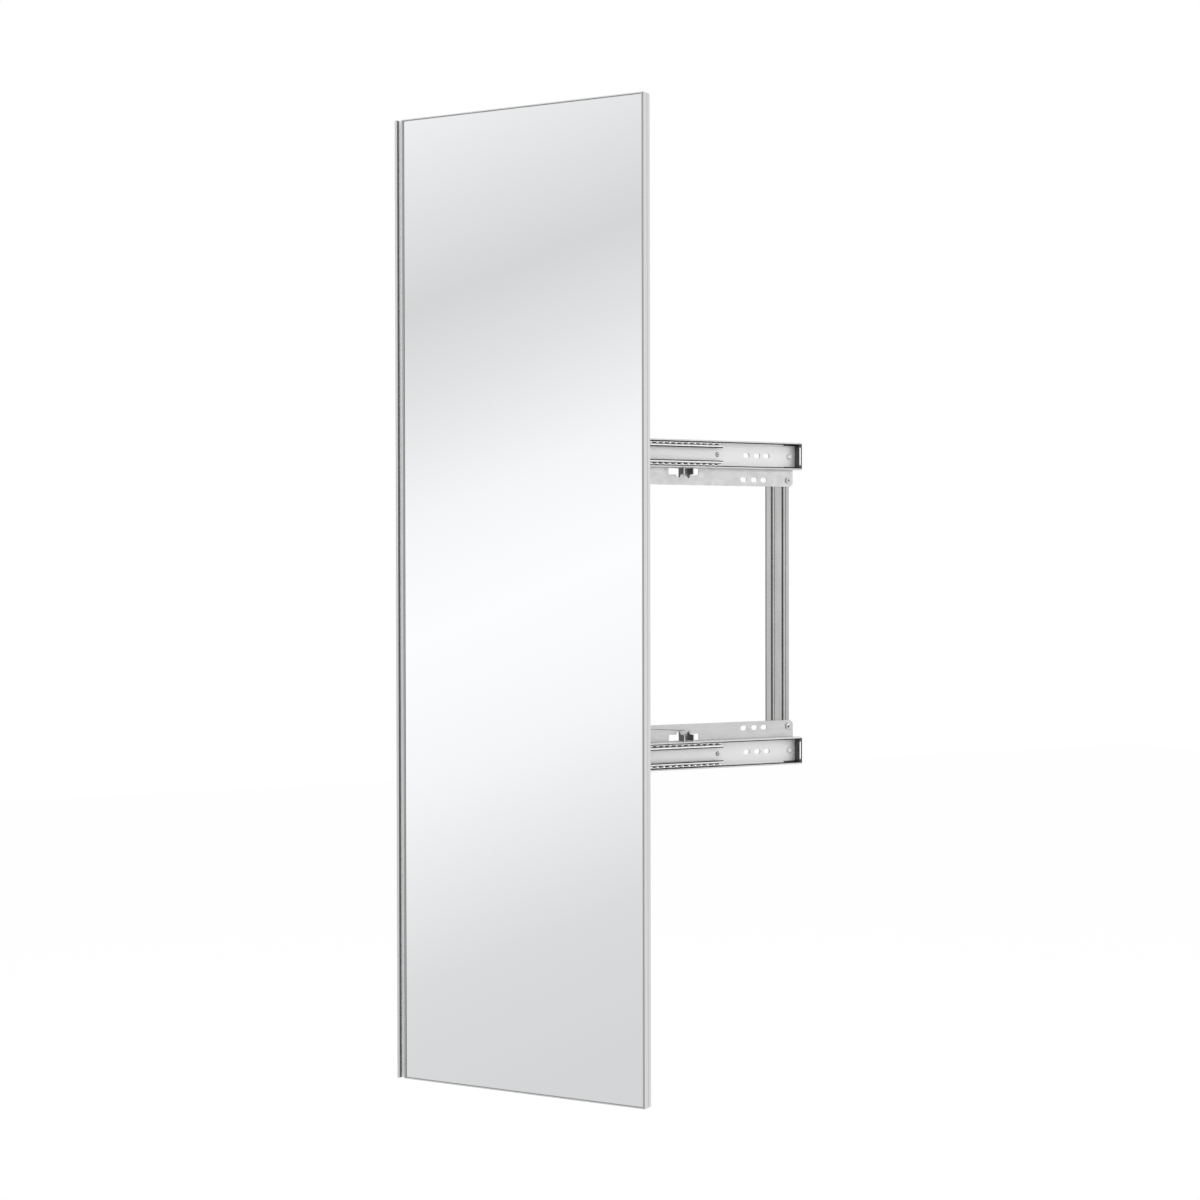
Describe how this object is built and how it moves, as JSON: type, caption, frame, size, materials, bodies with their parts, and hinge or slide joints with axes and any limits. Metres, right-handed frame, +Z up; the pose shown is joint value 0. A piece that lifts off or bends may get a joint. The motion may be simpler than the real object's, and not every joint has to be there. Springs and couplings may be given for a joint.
{
  "type": "pull-out wardrobe mirror",
  "caption": "Tall framed wardrobe mirror on a vertical pivot, carried by paired ball-bearing slides on a side-mounted frame; it pulls out and swivels.",
  "frame": {"origin": "on the plane of the carcass side (the backs of the uprights), at the centre of the rectangle of mounting slots", "axes": "+X to the back of the wardrobe (the mirror pulls out along -X), +Y into the carcass side, +Z up; at rest the mirror is fully out and swung 56.4 degrees, as pictured"},
  "size_m": [0.5877, 0.3007, 1.2024],
  "materials": {
    "zinc_steel": "satin zinc plate",
    "anodised_profile": "satin anodised",
    "frame_screw_steel": "bright plate",
    "slide_steel": "bright zinc plate",
    "cage_steel": "bright, oiled",
    "cage_plastic": "satin",
    "ball_steel": "polished",
    "bumper_rubber": "gloss black",
    "rivet_steel": "satin",
    "hinge_steel": "satin zinc plate",
    "post_steel": "ground",
    "hinge_screw_steel": "bright zinc plate",
    "bearing_plastic": "natural acetal",
    "mirror_silver": "silvered float glass",
    "seal_rubber": "matt",
    "backing_board": "grey foil-faced board",
    "frame_aluminium": "satin anodised",
    "key_plastic": "matt",
    "corner_screw_steel": "bright plate"
  },
  "bodies": {
    "wall_frame": {"upper_plate": "zinc_steel", "lower_plate": "zinc_steel", "rear_upright": "anodised_profile", "front_upright": "anodised_profile", "frame_screws": "frame_screw_steel", "upper_outer_member": "slide_steel", "lower_outer_member": "slide_steel", "upper_end_bumper": "bumper_rubber", "lower_end_bumper": "bumper_rubber", "slide_rivets": "rivet_steel"},
    "middle_members": {"upper_middle_member": "slide_steel", "lower_middle_member": "slide_steel", "stop_studs": "rivet_steel"},
    "outer_ball_cages": {"upper_outer_cage": "cage_steel", "lower_outer_cage": "cage_steel", "outer_cage_balls": "ball_steel"},
    "inner_ball_cages": {"upper_inner_cage": "cage_plastic", "lower_inner_cage": "cage_plastic", "inner_cage_balls": "ball_steel"},
    "carriage": {"upper_inner_member": "slide_steel", "lower_inner_member": "slide_steel", "upper_arm": "hinge_steel", "lower_arm": "hinge_steel", "arm_rivets": "rivet_steel", "pivot_post": "post_steel", "post_screws": "hinge_screw_steel", "thrust_washers": "bearing_plastic"},
    "mirror": {"upper_hinge_bracket": "hinge_steel", "lower_hinge_bracket": "hinge_steel", "hinge_screws": "hinge_screw_steel", "hinge_bushes": "bearing_plastic", "mirror_glass": "mirror_silver", "glass_seal": "seal_rubber", "backing_panel": "backing_board", "corner_keys": "key_plastic", "corner_screws": "corner_screw_steel", "rear_edge_profile": "frame_aluminium", "handle_profile": "frame_aluminium", "top_profile": "frame_aluminium", "bottom_profile": "frame_aluminium"}
  },
  "joints": [
    {"name": "middle_slide", "type": "slide", "parent": "wall_frame", "child": "middle_members", "axis": [-1, 0, 0], "range_m": [-0.1074, 0]},
    {"name": "outer_cage_slide", "type": "slide", "parent": "wall_frame", "child": "outer_ball_cages", "axis": [-1, 0, 0], "range_m": [-0.0537, 0]},
    {"name": "carriage_slide", "type": "slide", "parent": "middle_members", "child": "carriage", "axis": [-1, 0, 0], "range_m": [-0.1074, 0]},
    {"name": "inner_cage_slide", "type": "slide", "parent": "middle_members", "child": "inner_ball_cages", "axis": [-1, 0, 0], "range_m": [-0.0537, 0]},
    {"name": "mirror_swivel", "type": "hinge", "parent": "carriage", "child": "mirror", "pos_m": [-0.3856, -0.014, 0], "axis": [0, 0, -1], "range_deg": [-56.4, 33.6]}
  ],
  "couplings": [
    {"joint": "outer_cage_slide", "follows": "middle_slide", "ratio": 0.5},
    {"joint": "carriage_slide", "follows": "middle_slide", "ratio": 1},
    {"joint": "inner_cage_slide", "follows": "middle_slide", "ratio": 0.5}
  ]
}
